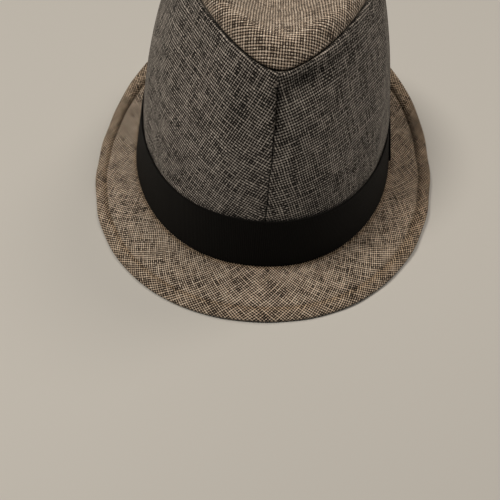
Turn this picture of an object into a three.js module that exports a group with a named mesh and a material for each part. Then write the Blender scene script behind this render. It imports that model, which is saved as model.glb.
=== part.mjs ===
import * as THREE from "three";

// Trilby, a short-brimmed cloth hat. Sizes are in millimetres, angles in degrees.
// The front of the brim points to -Y and the crown to +Z. Angles go round the crown
// from the front (0) by the wearer's left (90) to the back (180).

// Crown at the break line, where it meets the brim, measured outside the ribbon
const CROWN_LENGTH = 206.1;
const CROWN_WIDTH = 172;
const OVAL_POWER = 2.166;
const FRONT_TAPER = 0.025;

// Height of the break line above the table, on top of the brim
const BREAK_FRONT = 12.2;
const BREAK_SIDE = 9.55;
const BREAK_BACK = 2.1;

// Seam between the side panels and the tip
const TIP_HALF_WIDTH = 49;
const TIP_HALF_LENGTH = 71.5;
const TIP_CENTRE_Y = 7.3;
const TIP_POINT_X = 4.2;
const TIP_TAPER = 0.354;
const TIP_FRONT_HEIGHT = 112.2;
const TIP_SIDE_HEIGHT = 120.6;
const TIP_BACK_HEIGHT = 103.3;

// Cloth of the tip: it rolls up inside the seam to a soft ridge, steepest in front,
// and sinks from there into one long dent. Reaches are shares of the way to the middle,
// and the rounding is how fast the teardrop turns into an oval on that way.
const ROLL_FRONT = 9.5;
const ROLL_SIDE = 5;
const ROLL_BACK = 4.5;
const ROLL_REACH = 0.17;
const DENT_DEPTH = 17;
const DENT_REACH = 0.8;
const ROUNDING = 4;

// Side panels between the ribbon and the tip
const FRONT_BULGE = 3;
const LEFT_BULGE = 3.3;
const RIGHT_BULGE = 4.6;
const SEAM_FOOT_ANGLE = 2.2;
const SEAM_TOP_ANGLE = 0.9;

// Brim
const BRIM_WIDTH = 32;
const BRIM_LIFT = 16;
const FRONT_EDGE_HEIGHT = 1.3;
const BRIM_CURL = 1.41;
const HEM_WIDTH = 10;

// Ribbon round the crown, and the flat fold that covers its ends
const RIBBON_HEIGHT = 37.2;
const RIBBON_THICK = 1;
const LEAN_FRONT = 0.128;
const LEAN_SIDE = 0.283;
const LEAN_BACK = 0.276;
const FOLD_THICK = 1.3;
const FOLD_LENGTH = 48;
const FOLD_START_ANGLE = 84;
const FOLD_MARGIN = 1.2;
const FOLD_CORNER = 2;

// Walls and the gap between pieces
const CLOTH = 2;
const GAP = 0.3;

// Round the brim: its width, the height of its edge and how much of the hem's
// width and padding shows there, each as a share of the named size
const BRIM_ROUND = [
  { station: "front", width: 0.958, lift: 0.0, hem: 0.74, pad: 0.5 },
  { station: "front left", width: 1.022, lift: 0.04, hem: 0.77, pad: 0.6 },
  { station: "left", width: 0.876, lift: 0.41, hem: 0.84, pad: 1.0 },
  { station: "back left", width: 0.835, lift: 0.77, hem: 0.84, pad: 1.0 },
  { station: "back", width: 0.88, lift: 0.86, hem: 0.9, pad: 1.0 },
  { station: "back right", width: 0.65, lift: 0.75, hem: 0.93, pad: 1.0 },
  { station: "right", width: 0.744, lift: 0.29, hem: 0.77, pad: 1.0 },
  { station: "front right", width: 1.023, lift: 0.0, hem: 0.78, pad: 0.6 },
];

// Across the hem strip, from its stitch line to the brim's edge: thickness as a
// share of the cloth, flat and padded
const HEM_PROFILE = [
  { across: 0.0, flat: 0.85, padded: 0.7 },
  { across: 0.16, flat: 1.0, padded: 1.15 },
  { across: 0.5, flat: 1.1, padded: 1.6 },
  { across: 0.84, flat: 0.95, padded: 1.25 },
  { across: 1.0, flat: 0.4, padded: 0.5 },
];

// Soft hollows in the side panels: where, how wide and how deep.
// Height and reach are shares of the panel above the ribbon.
const HOLLOWS = [
  { name: "under the point, left", angle: 17, spread: 11, height: 0.9, reach: 0.1, depth: 2.6 },
  { name: "under the point, right", angle: -14, spread: 9, height: 0.93, reach: 0.07, depth: 1.2 },
  { name: "pinch, left", angle: 44, spread: 17, height: 0.62, reach: 0.3, depth: 2.6 },
  { name: "pinch, right", angle: -44, spread: 17, height: 0.66, reach: 0.3, depth: 2.2 },
];

// How finely the curved surfaces are divided
const AROUND_BRIM = 96;
const AROUND_RIBBON = 80;
const AROUND_TIP = 60;
const PANEL_COLUMNS = 26;
const PANEL_ROWS = 12;
const TIP_ROWS = 10;
const TIP_EASE = 1.35;
const BRIM_ROWS = 6;
const FOLD_COLUMNS = 10;
const FOLD_ROWS = 3;

const FULL_TURN = 360;
const HALF_TURN = 180;
const STEP = 0.5;
const NEAR = 1e-6;

const radians = (angle) => (angle * Math.PI) / HALF_TURN;
const cosine = (angle) => Math.cos(radians(angle));
const sine = (angle) => Math.sin(radians(angle));
const signedPower = (value, power) => Math.sign(value) * Math.abs(value) ** power;
const smooth = (share) => share * share * (3 - 2 * share);
const bell = (distance) => Math.exp(-distance * distance);

// Smooth change round the hat through a front, side and back value
function roundThree(front, side, back, angle) {
  const level = (front + back) / 4 + side / 2;
  const first = (front - back) / 2;
  const second = (front + back) / 4 - side / 2;
  return level + first * cosine(angle) + second * cosine(2 * angle);
}

// Smooth closed curve through one value at each evenly spaced station
function roundTable(table, column, angle) {
  const count = table.length;
  const half = count / 2;
  let total = 0;
  for (let order = 0; order <= half; order += 1) {
    let cosPart = 0;
    let sinPart = 0;
    table.forEach((row, index) => {
      const at = (index * FULL_TURN) / count;
      cosPart += row[column] * cosine(order * at);
      sinPart += row[column] * sine(order * at);
    });
    const weight = order === 0 || order === half ? 1 / count : 2 / count;
    total += weight * (cosPart * cosine(order * angle) + sinPart * sine(order * angle));
  }
  return total;
}

// Break line, the oval where crown and brim meet
function breakPoint(angle) {
  const along = signedPower(cosine(angle), 2 / OVAL_POWER);
  const across = signedPower(sine(angle), 2 / OVAL_POWER);
  const taper = 1 - FRONT_TAPER * cosine(angle);
  const height = roundThree(BREAK_FRONT, BREAK_SIDE, BREAK_BACK, angle);
  return new THREE.Vector3(
    (CROWN_WIDTH / 2) * across * taper,
    (-CROWN_LENGTH / 2) * along,
    height,
  );
}

// Level direction straight out of a closed curve at an angle
function outward(curve, angle) {
  const before = curve(angle - STEP);
  const after = curve(angle + STEP);
  const way = after.sub(before);
  return new THREE.Vector3(way.y, -way.x, 0).normalize();
}

// Ribbon's outer face: 0 at the break line, 1 at its upper edge
function ribbonPoint(angle, share) {
  const lean = roundThree(LEAN_FRONT, LEAN_SIDE, LEAN_BACK, angle) * RIBBON_HEIGHT * share;
  const point = breakPoint(angle).addScaledVector(outward(breakPoint, angle), -lean);
  point.z += RIBBON_HEIGHT * share;
  return point;
}

// Seam between side panels and tip, a teardrop with its point in front
function teardrop(angle, size, taper) {
  const tapered = (at) => sine(at) * Math.abs(sine(at / 2)) ** taper;
  const half = Array.from({ length: HALF_TURN }, (unused, at) => tapered(at));
  return new THREE.Vector3(
    (size * TIP_HALF_WIDTH * tapered(angle)) / Math.max(...half),
    TIP_CENTRE_Y - size * TIP_HALF_LENGTH * cosine(angle),
    roundThree(TIP_FRONT_HEIGHT, TIP_SIDE_HEIGHT, TIP_BACK_HEIGHT, angle),
  );
}

function tipSeam(angle) {
  const point = teardrop(angle, 1, TIP_TAPER);
  point.x += (TIP_POINT_X * (1 + cosine(angle))) / 2;
  return point;
}

// Side panel's outer face above the ribbon: 0 behind its upper edge, 1 at the seam
function panelPoint(angle, share) {
  const out = outward(breakPoint, angle);
  const foot = ribbonPoint(angle, 1).addScaledVector(out, -(RIBBON_THICK + GAP));
  const arch = 4 * share * (1 - share);
  const even = (LEFT_BULGE + RIGHT_BULGE) / 2;
  const uneven = (LEFT_BULGE - RIGHT_BULGE) / 2;
  const bulge = (roundThree(FRONT_BULGE, even, even, angle) + uneven * sine(angle)) * arch;
  const turned = angle > HALF_TURN ? angle - FULL_TURN : angle;
  let hollow = 0;
  HOLLOWS.forEach((row) => {
    const sideways = bell((turned - row.angle) / row.spread);
    const upward = bell((share - row.height) / row.reach);
    hollow += row.depth * sideways * upward * (1 - share ** 8);
  });
  return foot.lerp(tipSeam(angle), share).addScaledVector(out, bulge - hollow);
}

// Side panel's outer face from its foot on the brim (0) to the seam (1)
const FOOT_ROWS = 3;
function panelRow(angle, row) {
  if (row >= FOOT_ROWS) {
    return panelPoint(angle, (row - FOOT_ROWS) / (PANEL_ROWS - FOOT_ROWS));
  }
  const share = row / FOOT_ROWS;
  const out = outward(breakPoint, angle);
  const point = ribbonPoint(angle, share).addScaledVector(out, -(RIBBON_THICK + GAP));
  point.z += GAP * (1 - share);
  return point;
}

// Direction out of a surface given as a function of angle and row
function surfaceOut(surface, angle, row, last) {
  const around = surface(angle + STEP, row).sub(surface(angle - STEP, row));
  const upper = surface(angle, Math.min(row + STEP, last));
  const lower = surface(angle, Math.max(row - STEP, 0));
  return around.cross(upper.sub(lower)).normalize();
}

// Body between two faces given as rows of points. Points that coincide are one
// corner, and faces that shrink to a line are left out.
function closedBody(outer, inner, wraps) {
  const corners = [];
  const faces = [];
  const known = new Map();
  const cornerOf = (point) => {
    const key = [point.x, point.y, point.z].map((value) => Math.round(value / NEAR)).join();
    if (!known.has(key)) {
      known.set(key, corners.length);
      corners.push(point);
    }
    return known.get(key);
  };
  const quad = (a, b, c, d) => {
    const ring = [a, b, c, d].map(cornerOf);
    [[0, 1, 2], [0, 2, 3]].forEach((pick) => {
      const face = pick.map((index) => ring[index]);
      if (new Set(face).size === face.length) {
        faces.push(face);
      }
    });
  };
  const rows = outer.length;
  const columns = outer[0].length;
  const spans = wraps ? columns : columns - 1;
  for (let column = 0; column < spans; column += 1) {
    const next = (column + 1) % columns;
    for (let row = 0; row + 1 < rows; row += 1) {
      quad(outer[row][column], outer[row][next], outer[row + 1][next], outer[row + 1][column]);
      quad(inner[row + 1][column], inner[row + 1][next], inner[row][next], inner[row][column]);
    }
    const top = rows - 1;
    quad(inner[0][column], inner[0][next], outer[0][next], outer[0][column]);
    quad(outer[top][column], outer[top][next], inner[top][next], inner[top][column]);
  }
  if (!wraps) {
    const end = columns - 1;
    for (let row = 0; row + 1 < rows; row += 1) {
      quad(inner[row][0], outer[row][0], outer[row + 1][0], inner[row + 1][0]);
      quad(outer[row][end], inner[row][end], inner[row + 1][end], outer[row + 1][end]);
    }
  }
  let volume = 0;
  faces.forEach(([a, b, c]) => {
    const crossed = new THREE.Vector3().crossVectors(corners[b], corners[c]);
    volume += corners[a].dot(crossed);
  });
  const ordered = volume > 0 ? faces : faces.map(([a, b, c]) => [a, c, b]);
  const geometry = new THREE.BufferGeometry();
  const numbers = corners.flatMap((point) => [point.x, point.y, point.z]);
  geometry.setAttribute("position", new THREE.Float32BufferAttribute(numbers, 3));
  geometry.setIndex(ordered.flat());
  geometry.computeVertexNormals();
  return geometry;
}

// Rows and columns of points from a function of both numbers
function grid(rows, columns, place) {
  return Array.from({ length: rows }, (unusedRow, row) =>
    Array.from({ length: columns }, (unusedColumn, column) => place(row, column)));
}

// Inner corner of the wall along the tip seam, where both cloths turn inward
function seamInside(angle) {
  const point = tipSeam(angle).addScaledVector(outward(tipSeam, angle), -CLOTH);
  point.z -= CLOTH;
  return point;
}

// Side panel from the front seam to the back seam. Both seams leave half a gap.
function sidePanel(sideSign) {
  const last = PANEL_ROWS;
  const angleAt = (column, row) => {
    const share = column / PANEL_COLUMNS;
    const eased = 0.6 * share + 0.4 * smooth(share);
    const seam = SEAM_FOOT_ANGLE + ((SEAM_TOP_ANGLE - SEAM_FOOT_ANGLE) * row) / last;
    const start = seam * sideSign;
    return sideSign * (start + (HALF_TURN - start) * eased);
  };
  const open = (point, column) => {
    const atEnd = column === 0 || column === PANEL_COLUMNS;
    point.x += atEnd ? (sideSign * GAP) / 2 : 0;
    return point;
  };
  const outer = grid(PANEL_ROWS + 1, PANEL_COLUMNS + 1, (row, column) =>
    open(panelRow(angleAt(column, row), row), column));
  const inner = grid(PANEL_ROWS + 1, PANEL_COLUMNS + 1, (row, column) => {
    const angle = angleAt(column, row);
    if (row === last) {
      return open(seamInside(angle), column);
    }
    const out = surfaceOut(panelRow, angle, row, last);
    out.z = row === 0 ? 0 : out.z;
    return open(panelRow(angle, row).addScaledVector(out.normalize(), -CLOTH), column);
  });
  return closedBody(outer, inner, false);
}

// Tip's upper face: 0 at the seam, 1 in the middle of the dent
function tipPoint(angle, share) {
  const left = 1 - share;
  const point = teardrop(angle, left, TIP_TAPER * left ** ROUNDING);
  point.x += (TIP_POINT_X * left * (1 + left * cosine(angle))) / 2;
  const average = (TIP_FRONT_HEIGHT + TIP_BACK_HEIGHT) / 4 + TIP_SIDE_HEIGHT / 2;
  point.z += (average - point.z) * share;
  const steep = Math.sin((Math.PI / 2) * Math.min(1, share / ROLL_REACH));
  const roll = roundThree(ROLL_FRONT, ROLL_SIDE, ROLL_BACK, angle);
  const middleRoll = (ROLL_FRONT + ROLL_BACK) / 4 + ROLL_SIDE / 2;
  const into = Math.min(1, Math.max(0, (share - ROLL_REACH) / DENT_REACH));
  point.z += (roll + (middleRoll - roll) * share) * steep - DENT_DEPTH * smooth(into);
  return point;
}

// Tip, the top panel. Its edge lies beside the side panels' edge across the seam.
function tipPanel() {
  const angleAt = (column) => (column * FULL_TURN) / AROUND_TIP;
  const shareAt = (row) => (row / TIP_ROWS) ** TIP_EASE;
  const upper = (angle, row) => tipPoint(angle, shareAt(row));
  const shift = GAP / Math.SQRT2;
  const outer = grid(TIP_ROWS + 1, AROUND_TIP, (row, column) => {
    const angle = angleAt(column);
    const point = upper(angle, row);
    if (row === 0) {
      point.addScaledVector(outward(tipSeam, angle), -shift);
      point.z += shift;
    }
    return point;
  });
  const inner = grid(TIP_ROWS + 1, AROUND_TIP, (row, column) => {
    const angle = angleAt(column);
    if (row === 0) {
      const point = seamInside(angle).addScaledVector(outward(tipSeam, angle), -shift);
      point.z += shift;
      return point;
    }
    const level = row === TIP_ROWS;
    const out = level ? new THREE.Vector3(0, 0, 1) : surfaceOut(upper, angle, row, TIP_ROWS);
    return upper(angle, row).addScaledVector(out, -CLOTH);
  });
  return closedBody(outer, inner, true);
}

// Middle of the brim's cloth: reach is the distance out of the break line as a
// share of the brim's width there, below 0 under the crown's foot
function brimPoint(angle, reach) {
  const start = breakPoint(angle);
  const width = roundTable(BRIM_ROUND, "width", angle) * BRIM_WIDTH;
  const edge = FRONT_EDGE_HEIGHT + roundTable(BRIM_ROUND, "lift", angle) * BRIM_LIFT;
  const foot = start.z - CLOTH / 2;
  const rise = (edge - foot) * Math.max(0, reach) ** BRIM_CURL;
  const point = start.addScaledVector(outward(breakPoint, angle), width * reach);
  point.z = foot + rise;
  return point;
}

function brimOut(angle, reach) {
  const small = 0.01;
  const around = brimPoint(angle + STEP, reach).sub(brimPoint(angle - STEP, reach));
  const across = brimPoint(angle, reach + small).sub(brimPoint(angle, reach - small));
  return across.cross(around).normalize();
}

// Brim, one ring of cloth with a turned and stitched hem strip round its edge
function brim() {
  const under = RIBBON_THICK + GAP + CLOTH;
  const rows = BRIM_ROWS + HEM_PROFILE.length;
  const section = (angle, row) => {
    const width = roundTable(BRIM_ROUND, "width", angle) * BRIM_WIDTH;
    const hem = (roundTable(BRIM_ROUND, "hem", angle) * HEM_WIDTH) / width;
    if (row < BRIM_ROWS) {
      const inner = -under / width;
      return { reach: inner + ((1 - hem - inner) * row) / BRIM_ROWS, thick: CLOTH };
    }
    const profile = HEM_PROFILE[row - BRIM_ROWS];
    const pad = roundTable(BRIM_ROUND, "pad", angle);
    const share = profile.flat + (profile.padded - profile.flat) * pad;
    return { reach: 1 - hem * (1 - profile.across), thick: CLOTH * share };
  };
  const face = (sideSign) => grid(rows, AROUND_BRIM, (row, column) => {
    const angle = (column * FULL_TURN) / AROUND_BRIM;
    const { reach, thick } = section(angle, row);
    const out = reach <= 0 ? new THREE.Vector3(0, 0, 1) : brimOut(angle, reach);
    return brimPoint(angle, reach).addScaledVector(out, (sideSign * thick) / 2);
  });
  return closedBody(face(1), face(-1), true);
}

// Ribbon round the crown
function ribbon() {
  const rows = 3;
  const column = (index) => (index * FULL_TURN) / AROUND_RIBBON;
  const face = (depth) => grid(rows + 1, AROUND_RIBBON, (row, index) => {
    const angle = column(index);
    const share = row / rows;
    const point = ribbonPoint(angle, share);
    point.addScaledVector(outward(breakPoint, angle), -depth);
    point.z += GAP * (1 - share);
    return point;
  });
  return closedBody(face(0), face(RIBBON_THICK), true);
}

// Flat fold of ribbon on the wearer's left, with slightly rounded ends
function ribbonFold() {
  const turn = (FOLD_LENGTH / ((CROWN_LENGTH + CROWN_WIDTH) / 4)) * (HALF_TURN / Math.PI);
  const face = (depth) => grid(FOLD_ROWS + 1, FOLD_COLUMNS + 1, (row, column) => {
    const angle = FOLD_START_ANGLE + (turn * column) / FOLD_COLUMNS;
    const atEnd = column === 0 || column === FOLD_COLUMNS;
    const margin = (FOLD_MARGIN + (atEnd ? FOLD_CORNER : 0)) / RIBBON_HEIGHT;
    const share = margin + (1 - 2 * margin) * (row / FOLD_ROWS);
    const point = ribbonPoint(angle, share);
    point.addScaledVector(outward(breakPoint, angle), GAP + depth);
    point.z += GAP * (1 - share);
    return point;
  });
  return closedBody(face(FOLD_THICK), face(0), false);
}

const WOVEN = { roughness: 0.95, metalness: 0 };
const PIECES = [
  { name: "crown_side_left", geometry: sidePanel(1), color: 0x6f675f, ...WOVEN },
  { name: "crown_side_right", geometry: sidePanel(-1), color: 0x6f675f, ...WOVEN },
  { name: "crown_tip", geometry: tipPanel(), color: 0x85776a, ...WOVEN },
  { name: "brim", geometry: brim(), color: 0x85776a, ...WOVEN },
  { name: "hat_band", geometry: ribbon(), color: 0x0d0c0b, roughness: 0.8, metalness: 0 },
  { name: "band_fold", geometry: ribbonFold(), color: 0x0d0c0b, roughness: 0.8, metalness: 0 },
];

const hat = new THREE.Group();
hat.name = "trilby";
PIECES.forEach(({ name, geometry, color, roughness, metalness }) => {
  const material = new THREE.MeshStandardMaterial({ color, roughness, metalness });
  const mesh = new THREE.Mesh(geometry, material);
  mesh.name = name;
  hat.add(mesh);
});

// Stand the hat on z = 0, centred over the origin
const bounds = new THREE.Box3().setFromObject(hat);
const centre = bounds.getCenter(new THREE.Vector3());
hat.children.forEach((mesh) => {
  mesh.geometry.translate(-centre.x, -centre.y, -bounds.min.z);
});

export default hat;
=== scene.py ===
import math

import bmesh
import bpy
import numpy as np
from mathutils import Matrix, Vector


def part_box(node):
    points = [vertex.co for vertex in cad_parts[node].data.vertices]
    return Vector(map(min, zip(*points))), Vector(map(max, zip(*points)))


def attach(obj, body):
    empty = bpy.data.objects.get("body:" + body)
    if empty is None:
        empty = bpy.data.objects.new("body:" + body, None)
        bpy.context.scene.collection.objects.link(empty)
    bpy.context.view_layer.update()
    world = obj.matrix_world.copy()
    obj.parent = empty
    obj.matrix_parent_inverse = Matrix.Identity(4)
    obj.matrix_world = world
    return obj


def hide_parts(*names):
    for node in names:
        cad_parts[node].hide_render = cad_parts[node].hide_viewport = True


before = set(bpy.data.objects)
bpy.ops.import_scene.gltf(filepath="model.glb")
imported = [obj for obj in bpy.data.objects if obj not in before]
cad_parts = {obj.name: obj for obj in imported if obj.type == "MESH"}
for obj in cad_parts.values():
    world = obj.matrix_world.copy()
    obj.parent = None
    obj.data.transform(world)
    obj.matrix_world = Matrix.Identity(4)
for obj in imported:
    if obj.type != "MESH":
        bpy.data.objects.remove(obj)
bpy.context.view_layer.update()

# Trilby of coarse woven cloth. Lengths are in millimetres until a mesh is made,
# angles in degrees round the crown: front 0, wearer's left 90, back 180.
# BREAK, TIP_HEIGHT, ROLL and LEAN hold a value for the front, the sides and the back.

# Sizes that repeat the solids'
CROWN_LENGTH = 206.1
CROWN_WIDTH = 172.0
OVAL_POWER = 2.166
FRONT_TAPER = 0.025
BREAK = (12.2, 9.55, 2.1)  # height of the line where crown and brim meet

TIP_HALF_WIDTH = 49.0
TIP_HALF_LENGTH = 71.5
TIP_CENTRE_Y = 7.3
TIP_POINT_X = 4.2
TIP_TAPER = 0.354
TIP_HEIGHT = (112.2, 120.6, 103.3)
ROLL = (9.5, 5.0, 4.5)
ROLL_REACH = 0.17
DENT_DEPTH = 17.0
DENT_REACH = 0.8
ROUNDING = 4.0

FRONT_BULGE = 3.0
LEFT_BULGE = 3.3
RIGHT_BULGE = 4.6
SEAM_FOOT_ANGLE = 2.2
SEAM_TOP_ANGLE = 0.9
SOLID_ROWS = 12  # the front seam leans evenly over the rows of the solid
SOLID_FOOT_ROWS = 3  # the rows of these that are behind the ribbon

BRIM_WIDTH = 32.0
BRIM_LIFT = 16.0
FRONT_EDGE_HEIGHT = 1.3
BRIM_CURL = 1.41
HEM_WIDTH = 10.0

RIBBON_HEIGHT = 37.2
RIBBON_THICK = 1.0
LEAN = (0.128, 0.283, 0.276)
FOLD_THICK = 1.3
FOLD_LENGTH = 48.0
FOLD_START_ANGLE = 84.0
FOLD_MARGIN = 1.2

CLOTH = 2.0
GAP = 0.3

# Shares of the brim's sizes at eight stations, from the front by the wearer's left
BRIM_ROUND = {
    "width": (0.958, 1.022, 0.876, 0.835, 0.88, 0.65, 0.744, 1.023),
    "lift": (0.0, 0.04, 0.41, 0.77, 0.86, 0.75, 0.29, 0.0),
    "hem": (0.74, 0.77, 0.84, 0.84, 0.9, 0.93, 0.77, 0.78),
    "pad": (0.5, 0.6, 1.0, 1.0, 1.0, 1.0, 1.0, 0.6),
}

# Sizes that differ from the solids' or are only here
HOLLOWS = (  # angle, spread, height, reach, depth; the first is deeper than the solid's
    (18, 12, 0.9, 0.1, 3.4),
    (-14, 9, 0.93, 0.07, 1.2),
    (44, 17, 0.62, 0.3, 2.6),
    (-44, 17, 0.66, 0.3, 2.2),
)
HOLLOW_FREE = 5.0  # degrees beside the front seam where the hollows fade out
POINT_BLUNT = 0.9  # how far the tip seam's front point is drawn back
POINT_SPREAD = 9.0
THREAD = 1.25  # distance between threads of the cloth
RIB = 1.1  # distance between ribs of the ribbon
MM = 0.001
STEP = 0.5
UP = np.array([0, 0, 1.0])


def cosine(angle):
    return np.cos(np.radians(angle))


def sine(angle):
    return np.sin(np.radians(angle))


def signed(angle):
    """An angle round the crown as one between -180 and 180."""
    return np.where(angle > 180, angle - 360, angle)


def smooth(share):
    return share * share * (3 - 2 * share)


def bell(distance):
    return np.exp(-distance * distance)


def ridge(distance, rise, at, spread):
    """Soft ridge with its top at a distance from a line."""
    return rise * bell((distance - at) / spread)


def ramp(value, start, end):
    return smooth(np.clip((value - start) / (end - start), 0, 1))


def fading(distance, reach):
    """Straight from 1 on a line to 0 at its reach."""
    return np.clip(1 - distance / reach, 0, 1)


def rising(distance, reach):
    return np.clip(distance / reach, 0, 1)


def vector(x, y, z):
    return np.stack(np.broadcast_arrays(x, y, z), axis=-1).astype(float)


def unit(v):
    return v / np.maximum(np.linalg.norm(v, axis=-1, keepdims=True), 1e-9)


def mean_round(values):
    front, side, back = values
    return (front + back) / 4 + side / 2


def round_three(values, angle):
    """Smooth change round the hat through a front, side and back value."""
    front, side, back = values
    first = (front - back) / 2
    second = (front + back) / 4 - side / 2
    return mean_round(values) + first * cosine(angle) + second * cosine(2 * angle)


def round_table(column, angle):
    """Smooth closed curve through one value at each evenly spaced station."""
    row = BRIM_ROUND[column]
    count = len(row)
    half = count // 2
    at = np.arange(count) * 360 / count
    total = np.zeros_like(angle, dtype=float)
    for order in range(half + 1):
        cos_part = sum(v * cosine(order * a) for v, a in zip(row, at))
        sin_part = sum(v * sine(order * a) for v, a in zip(row, at))
        weight = (1 if order in (0, half) else 2) / count
        total += weight * (cos_part * cosine(order * angle) + sin_part * sine(order * angle))
    return total


def break_point(angle):
    along = np.sign(cosine(angle)) * np.abs(cosine(angle)) ** (2 / OVAL_POWER)
    across = np.sign(sine(angle)) * np.abs(sine(angle)) ** (2 / OVAL_POWER)
    taper = 1 - FRONT_TAPER * cosine(angle)
    return vector(CROWN_WIDTH / 2 * across * taper, -CROWN_LENGTH / 2 * along, round_three(BREAK, angle))


def outward(curve, angle):
    """Level direction square to a curve round the hat."""
    way = curve(angle + STEP) - curve(angle - STEP)
    return unit(vector(way[..., 1], -way[..., 0], 0))


def ribbon_point(angle, share):
    lean = round_three(LEAN, angle) * RIBBON_HEIGHT * share
    point = break_point(angle) - outward(break_point, angle) * lean[..., None]
    point[..., 2] += RIBBON_HEIGHT * share
    return point


def tapered(at, taper):
    return sine(at) * np.abs(sine(at / 2)) ** taper


def teardrop(angle, size, taper):
    half = np.arange(180.0)
    shape = np.broadcast_shapes(np.shape(angle), np.shape(size), np.shape(taper))
    taper = np.broadcast_to(taper, shape)
    values, index = np.unique(np.round(taper, 5), return_inverse=True)
    widest = np.array([tapered(half, t).max() for t in values])[index].reshape(shape)
    blunt = ridge(signed(angle), POINT_BLUNT, 0, POINT_SPREAD) * size ** 8
    return vector(
        size * TIP_HALF_WIDTH * tapered(angle, taper) / widest,
        TIP_CENTRE_Y - size * TIP_HALF_LENGTH * cosine(angle) + blunt,
        round_three(TIP_HEIGHT, angle),
    )


def tip_seam(angle):
    point = teardrop(angle, 1.0, TIP_TAPER)
    point[..., 0] += TIP_POINT_X * (1 + cosine(angle)) / 2
    return point


def panel_foot(angle, share):
    """Side panel behind the ribbon: share 0 on the brim, 1 at the ribbon's upper edge."""
    point = ribbon_point(angle, share) - outward(break_point, angle) * (RIBBON_THICK + GAP)
    point[..., 2] += GAP * (1 - share)
    return point


def panel_point(angle, share):
    """Side panel above the ribbon: share 0 at the ribbon's upper edge, 1 at the tip seam."""
    foot = panel_foot(angle, 1.0)
    even = (LEFT_BULGE + RIGHT_BULGE) / 2
    uneven = (LEFT_BULGE - RIGHT_BULGE) / 2
    bulge = round_three((FRONT_BULGE, even, even), angle) + uneven * sine(angle)
    bulge = bulge * 4 * share * (1 - share)
    turned = signed(angle)
    hollow = 0
    for at, spread, height, reach, depth in HOLLOWS:
        hollow = hollow + ridge(turned, depth, at, spread) * ridge(share, 1, height, reach)
    hollow = hollow * (1 - share ** 8) * (1 - bell(turned / HOLLOW_FREE))
    out = outward(break_point, angle)
    return foot + (tip_seam(angle) - foot) * share[..., None] + out * (bulge - hollow)[..., None]


def tip_point(angle, share):
    """Tip panel: share 0 at its seam, 1 in the middle."""
    left = 1 - share
    point = teardrop(angle, left, TIP_TAPER * left ** ROUNDING)
    point[..., 0] += TIP_POINT_X * left * (1 + left * cosine(angle)) / 2
    point[..., 2] += (mean_round(TIP_HEIGHT) - point[..., 2]) * share
    steep = np.sin(np.pi / 2 * np.minimum(1, share / ROLL_REACH))
    roll = round_three(ROLL, angle)
    into = rising(share - ROLL_REACH, DENT_REACH)
    point[..., 2] += (roll + (mean_round(ROLL) - roll) * share) * steep - DENT_DEPTH * smooth(into)
    return point


def brim_point(angle, reach):
    """Middle of the brim's cloth: reach 0 at the ribbon, 1 at the edge."""
    start = break_point(angle)
    width = round_table("width", angle) * BRIM_WIDTH
    edge = FRONT_EDGE_HEIGHT + round_table("lift", angle) * BRIM_LIFT
    foot = start[..., 2] - CLOTH / 2
    point = start + outward(break_point, angle) * (width * reach)[..., None]
    point[..., 2] = foot + (edge - foot) * np.maximum(0, reach) ** BRIM_CURL
    return point


# Place of the solids in the row frame, found from the ribbon
band_low, band_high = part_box("hat_band")
SHIFT = np.array([
    (band_low[0] + band_high[0]) / 2 / MM,
    (band_low[1] + band_high[1]) / 2 / MM,
    band_low[2] / MM - (BREAK[2] + GAP),
])

# Sums of sines, with fixed random lengths and phases
FULL_PHASE = 6.28
PUCKER_LENGTHS = (9.0, 3.0)
SEAM_LENGTHS = (5, 2)
SIDE_FOLD_LENGTHS = (46, 19)
TIP_FOLD_LENGTHS = (40, 18)


def waves(place, seed, lengths=PUCKER_LENGTHS, count=5):
    """Waves along a line, about -1 to 1."""
    draw = np.random.default_rng(seed)
    longest, shortest = lengths
    total = 0
    for length in draw.uniform(shortest, longest, count):
        total = total + np.sin(2 * np.pi * place / length + draw.uniform(0, FULL_PHASE))
    return total / math.sqrt(count)


def ripples(turns, seed, fewest, most, count):
    """Waves round a closed line, about -1 to 1."""
    draw = np.random.default_rng(seed)
    total = 0
    for times in draw.integers(fewest, most, count):
        total = total + np.sin(times * turns + draw.uniform(0, FULL_PHASE))
    return total / math.sqrt(count)


def grid_normals(points, wraps):
    if wraps:
        around = np.roll(points, -1, axis=1) - np.roll(points, 1, axis=1)
    else:
        around = np.gradient(points, axis=1)
    return unit(np.cross(around, np.gradient(points, axis=0)))


def facing_up(normal):
    return np.where(normal[..., 2:] < 0, -normal, normal)


def lengths_along(points, axis):
    steps = np.linalg.norm(np.diff(points, axis=axis), axis=-1)
    start = np.zeros_like(np.take(steps, [0], axis=axis))
    return np.concatenate([start, np.cumsum(steps, axis=axis)], axis=axis)


def closed(grid):
    """A grid with its first column repeated after the last."""
    return np.concatenate([grid, grid[:, :1]], axis=1)


# Closed walls
WELD = 2e-6  # metres
SHORTEST_EDGE = 1e-7


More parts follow.
